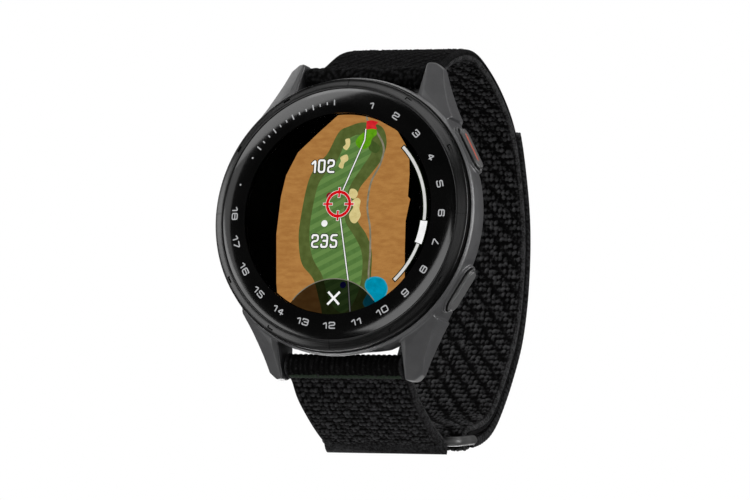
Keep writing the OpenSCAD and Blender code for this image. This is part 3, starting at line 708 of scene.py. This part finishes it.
    layer("map_scroll_edge", ribbon(scroll(46.6, -46.2), 0.78), 7, ink)
    layer("map_scroll", ribbon(scroll(46, -45.5), 0.46), 8, glowing("map_scroll_look", (204, 204, 202),
                                                                    (216, 216, 214), 0.9))
    layer("map_thumb_edge", ribbon(scroll(-4.0, -19.0), 1.4), 9, ink)
    layer("map_thumb", ribbon(scroll(-4.5, -18.5), 1.12), 10, white)


# ---- strap ----
STRAP_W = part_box("strap_long")[1].x / MM * 2
LONG_LINE = [(-22.4, 22.9), (-19.6, 23.1), (-17.1, 24.4), (-12.2, 27.3), (-7, 28.8), (-1.8, 28.3), (5.8, 25.2),
             (12.2, 20.4), (16.4, 13.5), (19.2, 6), (20.1, -2.5), (19.2, -10.4), (16.4, -16.8), (13.2, -22),
             (10.6, -25), (7.5, -26.8), (4.1, -27.9), (2.3, -28.3)]      # the strap lines of the CAD source, (Y, Z)
SHORT_LINE = [(-22.4, -22.9), (-20.6, -23.6), (-18, -26), (-13.6, -28.5), (-9.6, -30.3), (-5.6, -31.6)]


def beside(points, start, stop, out):
    """Points beside a Catmull-Rom line between two of its parameters, out to the left of its run."""
    p = np.array(points, float)

    def at(u):
        i = min(int(u), len(p) - 2)
        t = u - i
        a, b, c, d = p[max(i - 1, 0)], p[i], p[i + 1], p[min(i + 2, len(p) - 1)]
        return 0.5 * (2 * b + (c - a) * t + (2 * a - 5 * b + 4 * c - d) * t * t + (3 * b - a - 3 * c + d) * t ** 3)

    line = []
    for u in np.linspace(start, stop, int(abs(stop - start) * 30) + 2):
        tangent = at(min(u + 0.02, len(p) - 1)) - at(max(u - 0.02, 0))
        tangent /= np.linalg.norm(tangent)
        line.append(at(u) + out * np.array((-tangent[1], tangent[0])))
    return line


def turn(centre, r, start, stop):
    """An arc in (Y, Z) round a bar, angles in degrees from +Y towards +Z."""
    return [np.array((centre[0] + r * math.cos(a), centre[1] + r * math.sin(a)))
            for a in np.radians(np.linspace(start, stop, int(abs(stop - start) / 4) + 2))]


def knit_height(column, course, seed, trough, jitter=0.3, twist=0.7):
    """Relief of the knit, 0 to 1: each stitch is a small turned oval, with a trough on every fourth diagonal."""
    draws = np.random.RandomState(seed).rand(4, 64, 512)
    base_column, base_course = np.floor(column), np.floor(course)
    relief = np.zeros(column.shape)
    for dc in (-1, 0, 1):
        for dr in (-1, 0, 1):
            c, r = base_column + dc, base_course + dr
            pick = (c.astype(int) % 64, r.astype(int) % 512)
            x = column - (c + 0.5 + jitter * (draws[0][pick] - 0.5))
            y = course - (r + 0.5 + jitter * (draws[1][pick] - 0.5))
            lean = -0.5 + twist * (draws[3][pick] - 0.5)
            along, across = x * np.cos(lean) + y * np.sin(lean), y * np.cos(lean) - x * np.sin(lean)
            amount = 0.7 + 0.45 * draws[2][pick]
            spread = (along / 0.64) ** 2 + (across / 0.42) ** 2
            relief = np.maximum(relief, amount * np.clip(1 - spread, 0, 1) ** 0.5)
    wobble = 0.12 * np.sin(column * 2.1) + 0.12 * np.sin(course * 1.7)
    phase = (course - column + wobble) % 4 - 2
    return relief * (1 - trough * np.exp(-(phase / 0.7) ** 2))


def knit_skin(name, path, body, replaces=(), pitch=(0.855, 1.05), proud=0.45, sink=0.08, step=0.19, seed=1, start=0.0,
              shape=None, rope=0.0, half=None, side=1, pile=None, look=None, drop=0.6, trough=0.76):
    """A closed knitted layer over a path in (Y, Z), which is its surface, with the outside to the left of its run
    times side. start is the run at the path's first point; shape(run, x) gives (relief factor, extra height)."""
    path = np.array(path)
    gaps = np.linalg.norm(np.diff(path, axis=0), axis=1)
    keep = np.concatenate([[True], gaps > 1e-4])
    path = path[keep]
    run = np.concatenate([[0], np.cumsum(np.linalg.norm(np.diff(path, axis=0), axis=1))])
    rows = int(run[-1] / step) + 1
    along = np.linspace(0, run[-1], rows)
    line = np.stack([np.interp(along, run, path[:, k]) for k in (0, 1)], 1)
    tangent = np.gradient(line, axis=0)
    tangent /= np.linalg.norm(tangent, axis=1)[:, None]
    normal = side * np.stack([-tangent[:, 1], tangent[:, 0]], 1)
    for _ in range(6):      # the normals turn evenly where arcs meet the line
        normal[1:-1] = (normal[:-2] + 2 * normal[1:-1] + normal[2:]) / 4
    normal /= np.linalg.norm(normal, axis=1)[:, None]
    half = half or STRAP_W / 2 + 0.04
    edge = 0.5
    flat = np.linspace(-(half - edge), half - edge, int((2 * half - 2 * edge) / step) + 1)
    bend = np.radians([18, 36, 54, 72, 90])
    x = np.concatenate([-(half - edge) - edge * np.sin(bend[::-1]), flat, half - edge + edge * np.sin(bend)])
    low = np.concatenate([drop * (1 - np.cos(bend[::-1])), np.zeros(len(flat)), drop * (1 - np.cos(bend))])
    s = start + along
    grid_x, grid_s = np.meshgrid(x, s)
    relief = knit_height(grid_x / pitch[0] + 100, grid_s / pitch[1] + 100, seed, trough)
    if pile:      # looped pile in place of the knit between two runs
        loops = knit_height(grid_x / 0.8 + 50, grid_s / 0.85 + 50, seed + 50, 0.0, 0.75, 3.0)
        share = np.clip((grid_s - pile[0]) / 0.2, 0, 1) * np.clip((pile[1] - grid_s) / 0.2, 0, 1)
        relief = relief * (1 - share) + 0.8 * loops * share
    band = np.clip((half - 0.62 - np.abs(grid_x)) / 0.15, 0, 1)     # smooth binding along both edges
    groove = np.clip(1 - np.abs(half - 0.58 - np.abs(grid_x)) / 0.14, 0, 1)
    factor, extra = shape(grid_s, grid_x) if shape else (1.0, 0.0)
    twist = 0.5 + 0.5 * np.sin(2 * math.pi * (grid_s / 0.9 + np.sign(grid_x) * np.abs(grid_x) / 1.4))
    # tone is painted shade and light by relief: dark in troughs, in the groove beside each binding and where relief is
    # flattened, light on raised stitches, ribs, the seam and the binding's twists
    binding = (1 - band) * (0.5 + rope * (twist - 0.5)) * (1 - groove)
    tone = relief * band * factor + 1.2 * np.clip(extra, 0, 1) + binding
    rise = proud * band * factor * relief + extra + (1 - band) * (0.5 * proud + 0.22 * rope * twist) - sink
    rise = rise * (1 - groove) - 0.5 * proud * groove * band
    fade = np.clip((half - np.abs(grid_x)) / edge, 0, 1)
    height = rise * fade - low[None, :]
    verts = np.empty(grid_x.shape + (3,))
    verts[..., 0] = grid_x
    verts[..., 1] = line[:, 0][:, None] + normal[:, 0][:, None] * height
    verts[..., 2] = line[:, 1][:, None] + normal[:, 1][:, None] * height
    n = len(x)
    i, j = np.meshgrid(np.arange(rows - 1), np.arange(n - 1), indexing="ij")
    a = (i * n + j).ravel()
    faces = np.stack([a, a + 1, a + n + 1, a + n], 1)
    back = np.arange(rows - 1) * n
    faces = np.concatenate([faces, np.stack([back + n - 1, back, back + n, back + 2 * n - 1], 1)])
    caps = [tuple(range(n - 1, -1, -1)), tuple(range((rows - 1) * n, rows * n))]
    faces = [tuple(f) for f in faces] + caps
    if side < 0:
        faces = [f[::-1] for f in faces]
    made = piece(name, verts.reshape(-1, 3) * MM, faces, body, look or LOOKS["strap_knit"], "strap_knit",
                 replaces)
    # tone is stored as the height attribute, which the knit looks turn into painted shade and light
    attribute = made.data.attributes.new("height", "FLOAT", "POINT")
    attribute.data.foreach_set("value", np.clip(tone, 0, 1).ravel().astype(np.float32))
    return made


def portion(path, low, high):
    """The part of a path between two runs from its first point."""
    path = np.array(path)
    run = np.concatenate([[0], np.cumsum(np.linalg.norm(np.diff(path, axis=0), axis=1))])
    return [np.array([np.interp(r, run, path[:, k]) for k in (0, 1)]) for r in np.linspace(low, high, 16)]


def strap_core(name, node, body):
    """The body of a strap piece inside its knitted layers: a welded copy of the CAD solid."""
    mesh = nodes[node].data.copy()
    made = bpy.data.objects.new(name, mesh)
    scene.collection.objects.link(made)
    weld = made.modifiers.new("weld", "WELD")
    weld.merge_threshold = 1e-6
    inset = made.modifiers.new("inset", "DISPLACE")
    inset.mid_level, inset.strength = 0.0, -0.3 * MM
    made.data.materials.clear()
    made.data.materials.append(LOOKS["strap_knit"])
    attribute = mesh.attributes.new("height", "FLOAT", "POINT")
    attribute.data.foreach_set("value", [0.3] * len(mesh.vertices))
    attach(made, body)
    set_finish(made, "strap_knit")
    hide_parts(node)
    return made


def make_strap():
    upper, lower, rear, front = (-22.4, 22), (-22.4, -22), (2.3, -29.5), (-5.4, -30.9)
    strap_core("strap_long_core", "strap_long", "long_strap_body")
    strap_core("strap_tail_core", "strap_tail", "tail_body")
    strap_core("strap_short_core", "strap_short", "short_strap_body")
    wrap = turn(upper, 1.7, 330, 92)
    wrap_run = math.radians(330 - 92) * 1.7

    def under_tail(s, x):
        # where the tail lies over it the relief flattens and, through the tone, darkens: painted shade under the tail
        covered = np.clip((s - 37.5) / 0.8, 0, 1)
        return 1 - 0.9 * covered, -0.06 * covered

    knit_skin("strap_long_outside", wrap + beside(LONG_LINE, 0.05, 17, 0.75), "long_strap_body", side=1,
              start=-wrap_run, shape=under_tail, seed=11, pitch=(0.5, 0.64), proud=0.26, step=0.17,
              pile=(-6.5, 0.4), look=FINE_KNIT)
    knit_skin("strap_long_inside", beside(LONG_LINE, 0.6, 17, -0.75) + turn(rear, 1.75, 100, 262),
              "long_strap_body", pitch=(0.8, 0.97), side=-1, seed=12, start=1.5, look=INNER_KNIT)
    knit_skin("strap_tail_outside", beside(LONG_LINE, 16, 7.17, 2.55), "tail_body", side=-1,
              seed=13, proud=0.42, rope=0.5, drop=0.95)
    knit_skin("strap_tail_inside", beside(LONG_LINE, 16, 7.17, 1.2), "tail_body", side=1, seed=14, proud=0.03,
              rope=0.3)

    def lower_wrap(s, x):
        ribbed = np.clip((-0.9 - s) / 0.3, 0, 1)
        seam = np.clip((0.45 - np.abs(s + 0.35)) / 0.12, 0, 1)
        ribs = 0.22 * np.abs(np.cos(math.pi * x / 0.86)) * ribbed
        hem = np.clip((s - 16.5) / 1.5, 0, 1)
        return (1 - ribbed) * (1 - seam) * (1 - 0.4 * hem), ribs + 0.16 * seam - 0.22 * hem

    lower_run = math.radians(268 - 30) * 1.7
    front_line = turn(lower, 1.7, 30, 268) + beside(SHORT_LINE, 0.05, 5, -0.75)
    knit_skin("strap_short_outside", front_line + turn(front, 1.6, 250, 170), "short_strap_body", side=-1, seed=15,
              start=-lower_run, shape=lower_wrap, trough=0.5, pitch=(0.8, 0.96))
    knit_skin("strap_short_seam", portion(front_line, lower_run - 0.85, lower_run + 0.15), "short_strap_body",
              side=-1, seed=17, proud=0.05, sink=-0.2, half=STRAP_W / 2 - 0.25, start=-0.85,
              shape=lambda s, x: (0.2, 0.05 * np.sin(x * 9)), look=SEAM)
    knit_skin("strap_short_inside", beside(SHORT_LINE, 1.0, 4.9, 0.75), "short_strap_body", pitch=(0.8, 0.97),
              side=1, seed=16, start=1.5, look=INNER_KNIT)


# ---- the whole watch ----
make_camera()
make_world()
softbox("left_box", -61, -7, 0.8, 0.34, 0.98, 5.6, 37)
softbox("far_left_box", -122, 18, 0.8, 0.44, 0.54, 2.2)
softbox("upper_left_box", -44.5, 31, 0.8, 0.44, 0.34, 2.5)
softbox("soft_left_box", -51, 6, 0.8, 0.20, 0.34, 0.4)
softbox("front_box", 0, -10.5, 0.8, 0.27, 0.46, 2.1, -45)
softbox("fill_box", 33, 4, 0.8, 0.26, 0.44, 0.5)
softbox("top_box", -6, 50, 0.8, 0.90, 0.30, 2.9)
softbox("right_box", 96, 8, 0.8, 0.36, 0.7, 11.5)
softbox("back_box", 180, 62, 0.9, 0.8, 0.5, 3.4)
softbox("low_back_box", 203, -32, 0.8, 0.60, 0.40, 6.0)
floor = piece("floor", [(x * 0.5, y * 0.5, -0.7) for x, y in ((-1, -1), (1, -1), (1, 1), (-1, 1))], [(0, 1, 2, 3)],
              "watch_case", grained("floor_look", (236, 236, 236), (242, 242, 242), 30, (0.7, 0.8), 0.0),
              "case_polymer")
floor.parent = None
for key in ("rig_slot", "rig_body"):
    if key in floor:
        del floor[key]

softened("case_body", "mid_case", 0.14, 3, "watch_case")
for side in ("upper", "lower"):
    softened(side + "_button_cap", side + "_button", 0.06, 4, side + "_button_body", 90000, cap_look(side))
make_bezel()
make_glass()
make_dial()
make_display()
make_strap()
